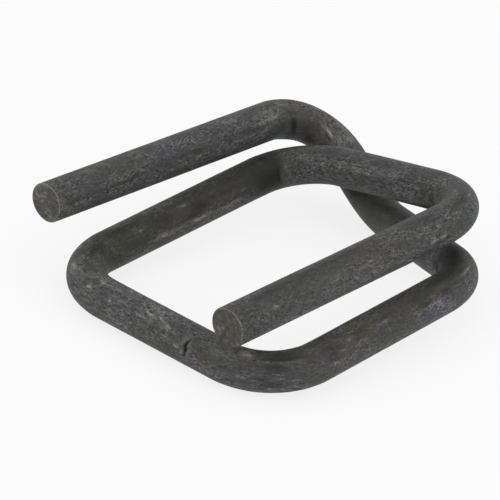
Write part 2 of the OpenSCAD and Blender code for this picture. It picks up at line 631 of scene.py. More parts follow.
class SkinShader:
    """The shader of the phosphate skin, made part by part from noises and from the layers of the mesh."""

    def __init__(self, skin: PhosphateSkin, tree: ShaderTree) -> None:
        """Lays the noises, and the stained spots with the painted shade among them, that several parts read.

        Args:
            skin: Colours and grains of the skin.
            tree: The material's node tree.
        """
        self.skin = skin
        self.tree = tree
        place = tree.add("ShaderNodeAttribute", {"attribute_name": STRAIGHTENED}, output="Vector")
        self.sheet = tree.cloud(place, skin.sheet)
        self.drift = tree.cloud(place, skin.drift)
        self.vein = tree.cloud(place, skin.vein)
        self.thread = tree.cloud(place, skin.thread)
        self.worm = tree.cloud(place, skin.worm)
        self.scratch = tree.cloud(place, skin.scratch)
        self.grit = tree.cloud(place, skin.grit)
        self.uneven = 1.0 + 1.4 * self.sheet.swing + 1.6 * self.vein.swing
        self.coarse = self.sheet.between(0.38, 0.60)
        self.cut = tree.layer(Layer.CUT)
        self.pressed = tree.layer(Layer.PRESSED)
        self.rust = self.blotched(Layer.RUST)
        # sooty stains together with painted shadows
        self.soot = self.blotched(Layer.SOOT_AND_SHADE)
        self.olive = self.blotched(Layer.OLIVE) * (1.0 - 0.7 * self.rust)
        calm = 0.5 * self.olive + 0.5 * self.soot + 0.45 * self.rust + 0.8 * tree.layer(Layer.SMOOTH)
        self.grain = 1.0 - calm.at_most(0.8)

    def blotched(self, layer: Layer) -> Shade:
        """A layer of the mesh with an uneven edge."""
        return (self.tree.layer(layer) * self.uneven).between(0.10, 0.70)

    def tone(self) -> Shade:
        """How pale the grey is; stains calm its grain."""
        fine = (0.55 + 1.05 * self.coarse) * self.thread.swing + (0.75 + 1.1 * self.coarse) * self.grit.swing
        return 0.5 + 0.8 * self.sheet.swing + self.grain * (0.65 * self.vein.swing + fine)

    def chalk(self) -> Shade:
        """Works out the light flecks, the fine lines along the wire, the scuffed spots and the painted light
        on shaded spots.

        Returns:
            How much of the skin they cover.
        """
        worms = self.worm.swing.size().between(0.05, 0.015)
        flecks = worms * self.thread.between(0.46, 0.60) * (0.2 + 0.8 * self.coarse) * self.grain
        lines = self.scratch.between(0.62, 0.72) * self.drift.between(0.42, 0.6)
        crumbs = (0.4 * self.grit + 0.4 * self.thread + 0.6 * self.vein).between(0.60, 0.76)
        # the chalky layer holds scuffed spots and painted light on shaded spots
        rubbed_and_lit = self.tree.layer(Layer.CHALK_AND_LIGHT)
        scuffs_and_light = rubbed_and_lit * (0.2 + 0.8 * crumbs) + 0.4 * rubbed_and_lit.between(0.55, 1.0)
        light = (0.50 * flecks + 0.25 * lines + scuffs_and_light).at_most(1.0)
        return light * (1.0 - 0.6 * self.pressed) * (1.0 - self.cut)

    def dark(self) -> Shade:
        """Works out the sooty stained spots with the painted shadows among them, and the painted shade in the
        tool marks and in the nick's depth.

        Returns:
            How much of the skin it covers.
        """
        black = self.tree.layer(Layer.SOOT_AND_SHADE).between(0.75, 1.0)
        # sooty stains and painted shadows, with a little painted shade in the tool marks
        stains_and_shading = (0.66 * self.soot + 0.24 * black + 0.08 * self.pressed).at_most(0.9)
        # painted shade in the depth of the nick
        return (stains_and_shading + 0.95 * self.tree.layer(Layer.GROOVE)).at_most(1.0)

    def cut_face(self) -> Shade:
        """Colours the sheared faces.

        Returns:
            Their colour, with light blotches and dark ones.
        """
        blotch = 0.55 * self.vein.between(0.46, 0.66) * self.thread.between(0.38, 0.60)
        shadow = 0.25 * self.thread.between(0.47, 0.32) + 0.35 * self.vein.between(0.48, 0.36)
        face = self.tree.mixed(self.skin.cut_face, self.skin.cut_blotch, blotch)
        return self.tree.mixed(face, self.skin.soot, shadow)

    def colour(self, chalk: Shade) -> Shade:
        """Colours the skin.

        Args:
            chalk: How much of it carries chalky flecks, scuffed spots and painted light.

        Returns:
            The grey with its tints, chalky flecks with painted light, painted rim highlights, and sooty spots
            with painted shade.
        """
        skin, tree = self.skin, self.tree
        grey = tree.mixed(skin.dark_grey, skin.pale_grey, self.tone())
        colour = tree.mixed(grey, self.cut_face(), self.cut)
        violet = 0.45 * self.drift.between(0.5, 0.36) + self.blotched(Layer.VIOLET)
        tints = (
            (skin.pale_tint, 0.8 * self.blotched(Layer.PALE)),
            (skin.olive_tint, 0.55 * self.drift.between(0.46, 0.62)),
            (skin.stain_tint, self.olive),
            (skin.violet_tint, violet.at_most(1.0)),
            (skin.teal_tint, self.blotched(Layer.TEAL)),
            (skin.rust_tint, self.rust),
        )
        for tint, share in tints:
            colour = tree.mixed(colour, tint, share, "MULTIPLY")
        # painted highlight along the sharp edge of the cut ends
        rim_glint = tree.layer(Layer.RIM) * self.grit.between(0.30, 0.52)
        colour = tree.mixed(colour, skin.chalk, chalk)
        colour = tree.mixed(colour, skin.rim_highlight, rim_glint)
        return tree.mixed(colour, skin.soot, self.dark())

    def dress(self) -> None:
        """Joins the parts into the surface of the material."""
        chalk = self.chalk()
        relief = {
            "Strength": self.skin.bump_strength,
            "Distance": self.skin.bump_height,
            "Height": 0.5 * self.vein + 0.45 * self.thread + 0.3 * self.grit + 0.2 * self.scratch,
        }
        finish = {
            "Base Color": self.colour(chalk),
            "Roughness": self.skin.roughness + 0.25 * self.vein.swing - 0.12 * chalk - 0.08 * self.pressed,
            "Metallic": 0.0,
            "Specular IOR Level": self.skin.gloss,
            "Normal": self.tree.add("ShaderNodeBump", {}, relief, "Normal"),
        }
        surface = self.tree.add("ShaderNodeBsdfPrincipled", {}, finish)
        self.tree.add("ShaderNodeOutputMaterial", {}, {"Surface": surface})


@dataclass(frozen=True)
class Patch:
    """A spot on the wire, with half its length and width in millimetres.

    Its turn is in degrees round the wire: 0 is up, 90 is the inside of the loop and -90 the outside. Its
    slant is its shift along the wire for each millimetre across, and a higher crisp gives it a harder edge.
    """

    layer: Layer
    run: Run
    along: float
    turn: float
    length: float
    width: float
    strength: float = 1.0
    slant: float = 0.0
    crisp: float = 2.0


@dataclass(frozen=True)
class CutEnd:
    """A sheared end: its face is a little out of square, and its edge is rolled over on one side.

    The blunting says how soon the sharp edge is lost towards the rolled side.
    """

    skew: float
    skew_turn: float
    sharp_edge: float
    rolled_edge: float
    rolled_turn: float
    blunting: float = 2.2

    def rolled(self, turns: np.ndarray) -> np.ndarray:
        """How far the edge is rolled over round the wire, from 0 to 1."""
        return (0.5 + 0.5 * np.cos(np.radians(turns - self.rolled_turn))) ** 2

    def sharp(self, turns: np.ndarray) -> np.ndarray:
        """How sharp the edge is round the wire, from 0 to 1."""
        return np.clip(1.0 - self.blunting * self.rolled(turns), 0.0, 1.0)

    def edge(self, turns: np.ndarray) -> np.ndarray:
        """Radius of the broken edge round the wire."""
        return self.sharp_edge + (self.rolled_edge - self.sharp_edge) * self.rolled(turns)

    def lean(self, radii: np.ndarray, turns: np.ndarray) -> np.ndarray:
        """How far the face lies back from square."""
        return math.tan(math.radians(self.skew)) * radii * np.cos(np.radians(turns - self.skew_turn))


@dataclass(frozen=True)
class ToolMark:
    """Mark of the bending tool: its lean across the wire, and the swelling beside it in millimetres."""

    lean: float = 0.0
    swell: float = 0.04


@dataclass(frozen=True)
class Ripple:
    """A sine wave across the nick."""

    height: float
    rate: float
    start: float = 0.0

    def at(self, across: np.ndarray) -> np.ndarray:
        """Its height across the nick, which reaches from -1 to 1."""
        return self.height * np.sin(self.rate * across + self.start)


@dataclass(frozen=True)
class Nick:
    """A short jagged cut straight across the wire, whose middle and width waver a little."""

    run: Run
    along: float
    turn: float
    half_length: float = 0.92
    half_width: float = 0.22
    depth: float = 0.40
    wall_curve: float = 0.7
    least_width: float = 1e-6
    long_waver: Ripple = Ripple(0.09, 5.2, 0.4)
    short_waver: Ripple = Ripple(0.03, 13.0)
    width_waver: Ripple = Ripple(0.3, 7.0, 1.0)

    def shape(self, off: np.ndarray, turns: np.ndarray, radius: float) -> np.ndarray:
        """Depth of the cut over the surface.

        Args:
            off: Distance along the wire from the middle of the nick.
            turns: Turn round the wire.
            radius: Radius of the wire.

        Returns:
            Depth as a share of the whole, 0 outside.
        """
        across = np.radians(wrapped(turns - self.turn)) * radius / self.half_length
        inside = np.clip(1.0 - across**2, 0.0, 1.0)
        rounded = np.sqrt(inside)
        middle = self.long_waver.at(across) + self.short_waver.at(across)
        width = self.half_width * rounded * (1.0 + self.width_waver.at(across)) + self.least_width
        return np.clip(1.0 - np.abs(off - middle) / width, 0.0, 1.0) ** self.wall_curve * rounded


@dataclass(frozen=True)
class SkinMap:
    """Layout of the map of the skin: rows with equal lengths of wire, and the two cut faces above them."""

    rows: int = 4
    row_height: float = 0.225
    row_margin: float = 0.01
    side_margin: float = 0.003
    face_size: float = 0.075
    first_face: tuple[float, float] = (0.05, 0.95)
    last_face: tuple[float, float] = (0.15, 0.95)

    def corners(self, stations: np.ndarray, straight: np.ndarray, wire_d: float) -> np.ndarray:
        """Maps each corner of the mesh's faces.

        Args:
            stations: Distances along the wire of its rings.
            straight: Places on the straightened wire by ring and turn.
            wire_d: Diameter of the wire.

        Returns:
            Places on the map, in the order of the faces.
        """

        def face(middle: tuple[float, float], places: np.ndarray) -> np.ndarray:
            """Places on a cut face, laid round its middle on the map."""
            return np.array(middle) + self.face_size / wire_d * places[..., 1:]

        around = straight.shape[1]
        ring, turn = np.arange(len(stations) - 1), np.arange(around)
        rings = np.stack([ring, ring + 1, ring + 1, ring], axis=1)[:, None]
        turns = np.stack([turn, turn, turn + 1, turn + 1], axis=1)[None]
        places = straight[rings, turns % around]
        length = stations[-1] / self.rows
        middles = 0.5 * (stations[:-1] + stations[1:])
        row = np.minimum((middles / length).astype(int), self.rows - 1)[:, None, None]
        along = np.clip(places[..., 0] / length - row, 0.0, 1.0)
        u = self.side_margin + (1.0 - 2.0 * self.side_margin) * along
        v = self.row_height * (row + self.row_margin + (1.0 - 2.0 * self.row_margin) * turns / around)
        quads = np.stack([u, v], axis=3)
        at_first, at_last = stations[1:] == stations[0], stations[:-1] == stations[-1]
        quads[at_first] = face(self.first_face, places[at_first])
        quads[at_last] = face(self.last_face, places[at_last])
        first, last = face(self.first_face, straight[0]), face(self.last_face, straight[-1, ::-1])
        return np.concatenate([first, quads.reshape(-1, 2), last])


@dataclass
class BuckleWire:
    """The buckle's one piece: the bent wire with its cut ends, its nick and its stained skin.

    Its rings of points lie a step apart, and closer together within reach of the nick and the tool marks.
    """

    sizes: WireSizes
    skin: PhosphateSkin
    back_end: CutEnd
    front_end: CutEnd
    nick: Nick
    tool_marks: tuple[ToolMark, ...]
    patches: tuple[Patch, ...]
    node: str = "buckle_wire"
    slot: str = "wire"
    around: int = 96
    step: float = 0.21
    end_room: float = 0.8
    nick_reach: float = 0.40
    mark_reach: float = 0.76
    fine_rings: int = 19
    long_waves: Waves = Waves(0.008, (5.0, 1.6, 1.6), 5.0)
    short_waves: Waves = Waves(0.005, (0.9, 0.5, 0.5), 11.0)
    face_waves: Waves = Waves(0.03, (1.0, 0.5, 0.5), 23.0)
    skin_map: SkinMap = SkinMap()
    line: MiddleLine = field(init=False)
    turns: np.ndarray = field(init=False)

    def __post_init__(self) -> None:
        """Lays the middle line and the turns round the wire."""
        self.line = MiddleLine(self.sizes)
        self.turns = 360.0 * np.arange(self.around) / self.around - 180.0

    def stations(self) -> np.ndarray:
        """Lays out the rings of points between the cut ends.

        Returns:
            Their distances along the wire.
        """
        places = [(self.line.station(self.nick.run, self.nick.along), self.nick_reach)]
        places += [(mark, self.mark_reach) for mark in self.line.tool_marks]
        whole = np.arange(self.end_room, self.line.length - self.end_room, self.step)
        fine = []
        for place, reach in places:
            whole = whole[np.abs(whole - place) > reach]
            fine.append(place + np.linspace(-reach, reach, self.fine_rings))
        return np.sort(np.concatenate([whole, *fine, [self.line.length - self.end_room]]))

    def straightened(self, stations: np.ndarray, radii: np.ndarray | float) -> np.ndarray:
        """Places on the straightened wire, along it and then up and sideways from its middle."""
        turns = np.radians(self.turns)[None]
        return np.stack(np.broadcast_arrays(stations, radii * np.cos(turns), radii * np.sin(turns)), axis=2)

    def cut_in(self, stations: np.ndarray) -> np.ndarray:
        """Depth of the nick for each station and turn, as a share of the whole."""
        off = stations - self.line.station(self.nick.run, self.nick.along)
        return self.nick.shape(off[:, None], self.turns[None], self.sizes.wire_r)

    def pressed(self, stations: np.ndarray, sample: LineSample) -> np.ndarray:
        """How deep the bending tool has pressed into the inside of the bends.

        Args:
            stations: Distances along the wire.
            sample: The middle line there.

        Returns:
            Depths for each station and turn, in millimetres.
        """
        sizes = self.sizes
        full = sizes.wire_r - sizes.bend_draw / 2
        inside = np.radians(wrapped(self.turns[None] - sample.inner_turn[:, None]))
        nearest = np.abs(stations[:, None] - self.line.tool_marks[None]).argmin(axis=1)
        off = (stations - self.line.tool_marks[nearest]) * (1.0 - full / sizes.bend_r)
        lean = np.array([mark.lean for mark in self.tool_marks])[nearest]
        off = np.abs(off[:, None] - lean[:, None] * full * np.sin(inside))
        edge = np.sqrt(np.clip(sizes.mark_r**2 - off**2, 0.0, None))
        flat = np.where(off < sizes.mark_r, full - sizes.mark_depth + sizes.mark_r - edge, full)
        left = flat / np.clip(np.cos(inside), LEAST_COSINE, 1.0)
        return np.clip(full - left, 0.0, None)

    def skin_radius(self, stations: np.ndarray, sample: LineSample) -> np.ndarray:
        """Radius of the skin.

        Args:
            stations: Distances along the wire.
            sample: The middle line there.

        Returns:
            Radii for each station and turn, in millimetres.
        """
        full = self.sizes.wire_r
        places = self.straightened(stations[:, None], full)
        waves = self.long_waves.at(places) + self.short_waves.at(places)
        bent = sample.bent[:, None]
        off_inside = np.abs(wrapped(self.turns[None] - sample.inner_turn[:, None]))
        off_marks = np.abs(stations[:, None] - self.line.tool_marks[None])
        swells = np.array([mark.swell for mark in self.tool_marks])[off_marks.argmin(axis=1)]
        fade = np.exp(-((off_marks.min(axis=1) / SWELL_LENGTH) ** 2))
        swell = (swells * fade)[:, None] * np.exp(-(((off_inside - SWELL_TURN) / SWELL_WIDTH) ** 2))
        radius = full - self.sizes.bend_draw / 2 * bent + swell - waves - self.pressed(stations, sample)
        return radius - self.nick.depth * self.cut_in(stations)

    def end_rings(self, end: CutEnd) -> tuple[np.ndarray, np.ndarray, np.ndarray, np.ndarray]:
        """Rings of a cut end, from the middle of its face out to its edge.

        Args:
            end: The cut end.

        Returns:
            Radius and setback of each ring round the wire, and how much of each is face and painted rim
            highlight.
        """
        edge, sharp = end.edge(self.turns)[None], end.sharp(self.turns)[None]
        full = self.sizes.wire_r - END_SHRINK
        face_r = np.array(FACE_RINGS)[:, None] * (full - edge)
        dents = self.face_waves.at(self.straightened(np.zeros_like(face_r), face_r))
        angles, shines, faces = np.array(EDGE_RINGS).T[:, :, None]
        sine, cosine = np.sin(np.radians(angles)), np.cos(np.radians(angles))
        radius = np.concatenate([face_r, full - edge * (1.0 - cosine)])
        back = np.concatenate([dents, edge * (1.0 - sine)]) + end.lean(radius, self.turns[None])
        edge_face = np.where(sharp > 0.5, faces, ROLLED_FACE + ROLLED_GAIN * sine)
        face = np.concatenate([np.ones_like(face_r), edge_face])
        # painted highlight where the edge is sharp
        rim = np.concatenate([np.zeros_like(face_r), shines * sharp])
        return radius, back, face, rim

    def build(self) -> bpy.types.Object:
        """Builds the wire's mesh with its layers and its map, and dresses it.

        Returns:
            The piece that stands for the solid.
        """
        inner = self.stations()
        body = self.line.sample(inner)
        first_r, first_back, first_face, first_rim = self.end_rings(self.back_end)
        last_r, last_back, last_face, last_rim = self.end_rings(self.front_end)
        ends = len(first_r)
        stations = np.concatenate([np.zeros(ends), inner, np.full(ends, self.line.length)])
        sample = self.line.sample(stations)
        body_r = self.skin_radius(inner, body)
        radius = np.concatenate([first_r, body_r, last_r[::-1]])
        shift = np.concatenate([first_back, np.zeros_like(body_r), -last_back[::-1]])
        turns = np.radians(self.turns)[None, :, None]
        outward = np.cos(turns) * sample.ups[:, None] + np.sin(turns) * sample.sides[:, None]
        middle = sample.points[:, None] + shift[:, :, None] * sample.ways[:, None]
        verts = middle + radius[:, :, None] * outward
        straight = self.straightened(stations[:, None] + shift, radius)
        layers = self.spots(stations)
        zero = np.zeros_like(body_r)
        layers[Layer.CUT] += np.concatenate([first_face, zero, last_face[::-1]])
        # painted highlight along the sharp edges of the cut ends
        layers[Layer.RIM] += np.concatenate([first_rim, zero, last_rim[::-1]])
        # tool marks, which also get a little painted shade
        layers[Layer.PRESSED] += ramp(self.pressed(stations, sample), *PRESSED_FADE)
        # painted shade in the depth of the nick
        layers[Layer.GROOVE] += ramp(self.cut_in(stations), *GROOVE_FADE)
        mesh = self.mesh_of(verts * MM)
        for layer, values in layers.items():
            kept = mesh.attributes.new(layer.value, "FLOAT", "POINT")
            kept.data.foreach_set("value", np.clip(values, 0.0, 1.0).astype(np.float32).ravel())
        kept = mesh.attributes.new(STRAIGHTENED, "FLOAT_VECTOR", "POINT")
        kept.data.foreach_set("vector", straight.astype(np.float32).ravel())
        corners = self.skin_map.corners(stations, straight, self.sizes.wire_d)
        mesh.uv_layers.new(name="OFBake").uv.foreach_set("vector", corners.astype(np.float32).ravel())
        mesh.materials.append(self.skin.material())
        piece = placed("wire_skin", mesh)
        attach(piece, "root")
        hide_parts(self.node)
        return piece

    def spots(self, stations: np.ndarray) -> dict[Layer, np.ndarray]:
        """Spreads the patches over the wire.

        Args:
            stations: Distances along the wire.

        Returns:
            Each layer's value for each station and turn.
        """
        layers = {layer: np.zeros((len(stations), self.around)) for layer in Layer}
        for patch in self.patches:
            across = np.radians(wrapped(self.turns - patch.turn))[None] * self.sizes.wire_r
            along = stations[:, None] - self.line.station(patch.run, patch.along) - patch.slant * across
            lengthways = np.abs(along / patch.length) ** patch.crisp
            sideways = np.abs(across / patch.width) ** patch.crisp
            layers[patch.layer] += patch.strength * np.exp(-(lengthways + sideways))
        return layers

    def mesh_of(self, verts: np.ndarray) -> bpy.types.Mesh:
        """Joins the rings into a closed mesh.

        Args:
            verts: Points by ring and turn, in metres.

        Returns:
            The mesh, shaded smooth.
        """
        rings, around = verts.shape[:2]
        index = np.arange(rings * around).reshape(rings, around)
        ahead = np.roll(index, -1, axis=1)
        quads = np.stack([index[:-1], index[1:], ahead[1:], ahead[:-1]], axis=2).reshape(-1, 4)
        faces = [index[0].tolist(), *quads.tolist(), index[-1][::-1].tolist()]
        mesh = bpy.data.meshes.new("wire_skin")
        mesh.from_pydata(verts.reshape(-1, 3).tolist(), [], faces)
        mesh.polygons.foreach_set("use_smooth", np.ones(len(faces), bool))
        mesh.update()
        return mesh


@dataclass(frozen=True)
class Lamp:
    """A soft square lamp that looks at the buckle; its level is what it adds to white paper facing it."""

    name: str
    azimuth: float
    elevation: float
    distance: float
    size: float
    level: float

    def build(self) -> None:
        """Hangs the lamp."""
        back = facing(self.azimuth, self.elevation)
        light = bpy.data.lights.new(self.name, "AREA")
        light.size = self.size
        light.energy = self.level * math.pi**2 * self.distance**2
        turn = back.to_track_quat("Z", "Y").to_matrix().to_4x4()
        placed(self.name, light).matrix_world = Matrix.Translation(back * self.distance) @ turn


@dataclass(frozen=True)
class PhotoCamera:
    """The photo's camera: angles in degrees, distance and target in millimetres, focus in pixels."""

    azimuth: float = 50.247
    elevation: float = 26.661
    roll: float = 6.437
    distance: float = 333.045
    focus: float = 3954.06
    target: tuple[float, float, float] = (-2.7386, 2.078, 3.5)
    sensor: float = 36.0
    nearest: float = 0.01

    def build(self) -> None:
        """Sets the scene's camera."""
        a = math.radians(self.azimuth)
        back = facing(-self.azimuth, self.elevation)
        level = Vector((math.cos(a), -math.sin(a), 0.0))
        right = Matrix.Rotation(math.radians(self.roll), 3, back) @ level
        data = bpy.data.cameras.new("photo_camera")
        data.sensor_width = self.sensor
        data.lens = self.focus * self.sensor / PHOTO_SIDE
        data.clip_start = self.nearest
        camera = placed("photo_camera", data)
        axes = Matrix((right, back.cross(right), back)).transposed().to_4x4()
        camera.matrix_world = Matrix.Translation((Vector(self.target) + self.distance * back) * MM) @ axes
        bpy.context.scene.camera = camera


@dataclass(frozen=True)
class Studio:
    """A white floor under even light from all round, with soft lamps."""

    lamps: tuple[Lamp, ...]
    camera: PhotoCamera = PhotoCamera()
    floor_side: float = 4.0
    floor_drop: float = 0.00002
    floor_colour: Colour = (0.96, 0.96, 0.96)
    sky_colour: Colour = (1.0, 1.0, 1.0)
    sky_level: float = 0.84
    white: Colour = (1.0, 1.0, 1.0)
    glow: float = 0.80

    def build(self) -> None:
        """Sets the floor, the sky, the lamps and the camera."""
        bpy.context.scene.view_settings.view_transform = "Standard"
        self.floor()
        self.sky()
        for lamp in self.lamps:
            lamp.build()
        self.camera.build()

    @staticmethod
    def seen(tree: ShaderTree) -> Shade:
        """Tells what the camera sees from what only lights the scene.

        Args:
            tree: The node tree of the floor or the sky.

        Returns:
            1 for what the camera sees, straight or in a gloss or through glass, and 0 for the rest.
        """
        rays = [
            tree.add("ShaderNodeLightPath", {}, {}, output)
            for output in ("Is Camera Ray", "Is Glossy Ray", "Is Transmission Ray")
        ]
        return rays[0].at_least(rays[1]).at_least(rays[2])

    def floor(self) -> None:
        """Lays the floor, white to the camera with the buckle's shadow on it, and clear from below."""
        half = self.floor_side / 2
        corners = [(-half, -half, 0.0), (half, -half, 0.0), (half, half, 0.0), (-half, half, 0.0)]
        mesh = bpy.data.meshes.new("floor")
        mesh.from_pydata(corners, [], [(0, 1, 2, 3)])
        made = bpy.data.materials.new("white_floor")
        made.use_nodes = True
        tree = ShaderTree(made.node_tree)
        lit = tree.add("ShaderNodeBsdfDiffuse", {}, {"Color": (*self.floor_colour, 1.0)})
        white = tree.add("ShaderNodeEmission", {}, {"Color": (*self.white, 1.0), "Strength": 1.0})
        shown = tree.add("ShaderNodeMixShader", {}, {0: self.glow * self.seen(tree), 1: lit, 2: white})
        under = tree.add("ShaderNodeNewGeometry", {}, {}, "Backfacing")
        clear = tree.add("ShaderNodeBsdfTransparent")
        shown = tree.add("ShaderNodeMixShader", {}, {0: under, 1: shown, 2: clear})
        tree.add("ShaderNodeOutputMaterial", {}, {0: shown})
        mesh.materials.append(made)
        floor = placed("floor", mesh)
        floor.location.z = -self.floor_drop

    def sky(self) -> None:
        """Lights the scene evenly from all round, with a white background for the camera."""
        world = bpy.data.worlds.new("studio_sky")
        bpy.context.scene.world = world
        world.use_nodes = True
        tree = ShaderTree(world.node_tree)
        dim = tree.add("ShaderNodeBackground", {}, {0: (*self.sky_colour, 1.0), 1: self.sky_level})
        white = tree.add("ShaderNodeBackground", {}, {0: (*self.white, 1.0), 1: 1.0})
        shown = tree.add("ShaderNodeMixShader", {}, {0: self.seen(tree), 1: dim, 2: white})
        tree.add("ShaderNodeOutputWorld", {}, {0: shown})


def spots_on(run: Run, stains_and_shading: Mapping[Layer, Sequence[Spot]]) -> list[Patch]:
    """Puts spots on one run of the wire.

    Args:
        run: The run, straight or bent.
        stains_and_shading: Its spots by layer, each with along, turn, length, width and strength, and some with slant and
            crisp.

    Returns:
        The patches.
    """
    # some of the spots are painted shade and painted light
    return [Patch(layer, run, *spot) for layer, spots in stains_and_shading.items() for spot in spots]


def back_prong_stains_and_shading() -> list[Patch]:
    """Stains and scuffed spots of the back prong and its corner, with painted shade and painted light on the
    corner.

    Returns:
        The patches there.
    """
    back_prong = {
        Layer.RUST: [(0, -125, 0.3, 0.9, 1), (0, 20, 0.3, 0.5, 0.6)],
        Layer.OLIVE: [(0, 110, 0.3, 0.9, 0.5), (4.2, -15, 5, 0.5, 0.5), (11.2, -12, 4, 0.4, 0.4)],
        Layer.VIOLET: [(0, -55, 0.3, 1.3, 0.5), (19.7, 100, 1.4, 0.35, 0.9), (23.9, 100, 1.2, 0.3, 0.9)],
        Layer.TEAL: [(0, 150, 0.3, 1.2, 0.4), (26.2, 105, 1.3, 0.3, 1)],
        Layer.PALE: [
            (0, -55, 0.3, 1.5, 1), (0, 140, 0.3, 0.9, 0.7), (8.2, 22, 0.9, 0.25, 0.7),
            (22, 15, 1.2, 0.3, 0.8), (25.4, 30, 1.4, 0.6, 0.8), (27, 38, 1.2, 0.6, 0.7),
        ],
        Layer.SOOT_AND_SHADE: [
            (1.6, 72, 1, 0.5, 0.4), (4.8, 54, 0.9, 0.3, 0.4), (6.7, 75, 4.5, 0.22, 0.5),
            (9.2, 63, 1, 0.35, 0.35), (15.7, 62, 2.5, 0.25, 0.45), (17, 72, 0.9, 0.35, 0.4),
            (20.8, 66, 1, 0.4, 0.42), (23, 62, 1.5, 0.45, 0.5), (24.7, 66, 1, 0.35, 0.35),
        ],
        Layer.CHALK_AND_LIGHT: [(25.2, 54, 1, 0.09, 0.8, -0.8), (26.9, 46, 0.5, 0.2, 0.7)],
        Layer.SMOOTH: [
            (8, 20, 7, 1.2, 0.25, 0, 4), (12.4, 5, 1.5, 0.5, 0.3), (22, 5, 1.5, 0.7, 0.45),
            (23.3, 92, 1.4, 0.5, 0.4),
        ],
    }
    back_corner = {
        Layer.RUST: [
            (1.5, 42, 1.2, 0.5, 0.8), (3.4, 36, 1.5, 0.45, 0.8), (4.3, 95, 1, 0.5, 0.8),
            (6.4, 70, 1.7, 1.3, 0.7),
        ],
        Layer.OLIVE: [(-0.2, 72, 1.1, 0.5, 0.9), (4.2, 76, 1.3, 0.9, 0.8)],
        Layer.VIOLET: [(2.4, 38, 2.4, 0.5, 0.7), (2.7, 92, 0.5, 0.8, 0.6, 0.5, 4)],
        Layer.TEAL: [(0.2, 112, 1.2, 0.35, 1)],
        # (6.8, 70) is partly a pale stripe, partly painted light where the back bar's corner below shades
        # this corner
        Layer.PALE: [(6, 104, 1, 0.6, 0.8), (6.8, 70, 1.6, 1.4, 1), (7.6, 0, 1, 0.6, 0.6)],
        Layer.SOOT_AND_SHADE: [
            (-0.5, 94, 1, 0.6, 0.42), (1.3, 74, 0.8, 0.6, 0.38), (1.5, 51, 0.7, 0.3, 0.35),
            # (1.95, 100) is painted shade in the tool mark
            (1.95, 100, 0.42, 1.2, 0.9, 0.5, 4), (4.7, 112, 0.9, 0.6, 0.85, 0.5),
        ],
        Layer.CHALK_AND_LIGHT: [
            (0.7, 20, 0.9, 0.08, 0.45), (1.5, 60, 0.18, 0.1, 0.9), (6.2, 50, 0.9, 0.16, 1, 0.5),
            # (8, 45) is partly a pale crust, partly painted light where the back bar's corner below shades
            # this corner
            (8, 45, 1.2, 1.4, 0.4),
        ],
        Layer.SMOOTH: [(2, 100, 2.4, 1.3, 0.9)],
    }
    return spots_on(Run.BACK_PRONG, back_prong) + spots_on(Run.BACK_CORNER, back_corner)


def long_side_stains_and_shadow() -> list[Patch]:
    """Stains and scuffed spots of the long side, smooth with painted shadow where it dips, and of its front
    corner.

    Returns:
        The patches there.
    """
    long_side_fall = {
        # both are painted shadow of the short side, which crosses over the dip
        Layer.SOOT_AND_SHADE: [(3.6, 65, 1.5, 1.2, 0.55), (8.2, 4, 2, 1, 0.9)],
        Layer.SMOOTH: [(5.5, 40, 6, 2.6, 1, 0, 4)],
    }
    long_side_rise = {
        Layer.VIOLET: [(8.6, 105, 1.4, 0.5, 0.8)],
        Layer.PALE: [(1.4, 55, 1.4, 0.6, 0.6), (9, 115, 1.4, 0.4, 0.5)],
        Layer.CHALK_AND_LIGHT: [(9.9, 88, 0.12, 0.35, 0.45, -1.3)],
    }
    front_right = {
        Layer.OLIVE: [(3.4, 2, 3, 1.4, 1)],
        Layer.VIOLET: [(4, -45, 1.9, 0.6, 1)],
        Layer.PALE: [(3.2, -48, 1.3, 0.4, 0.25)],
        Layer.SOOT_AND_SHADE: [
            # (0.9, 80) and (2.5, 26) are painted shadow of the front prong, which hangs over this corner
            (0.9, 80, 1, 0.5, 0.9), (1.2, -28, 1.1, 0.5, 0.6), (2.5, 26, 2.2, 1.25, 1, 0, 3),
            (5.4, -4, 1.5, 0.8, 0.6),
        ],
        Layer.CHALK_AND_LIGHT: [
            (-0.2, 72, 0.1, 0.3, 0.5, -1.3), (0.5, 68, 0.4, 0.07, 0.55), (1.2, 74, 0.1, 0.25, 0.4, 1.8),
            (4.3, -30, 0.9, 0.12, 0.7, 0.6),
        ],
    }
    fall, rise = spots_on(Run.LONG_SIDE_FALL, long_side_fall), spots_on(Run.LONG_SIDE_RISE, long_side_rise)
    return fall + rise + spots_on(Run.FRONT_RIGHT, front_right)


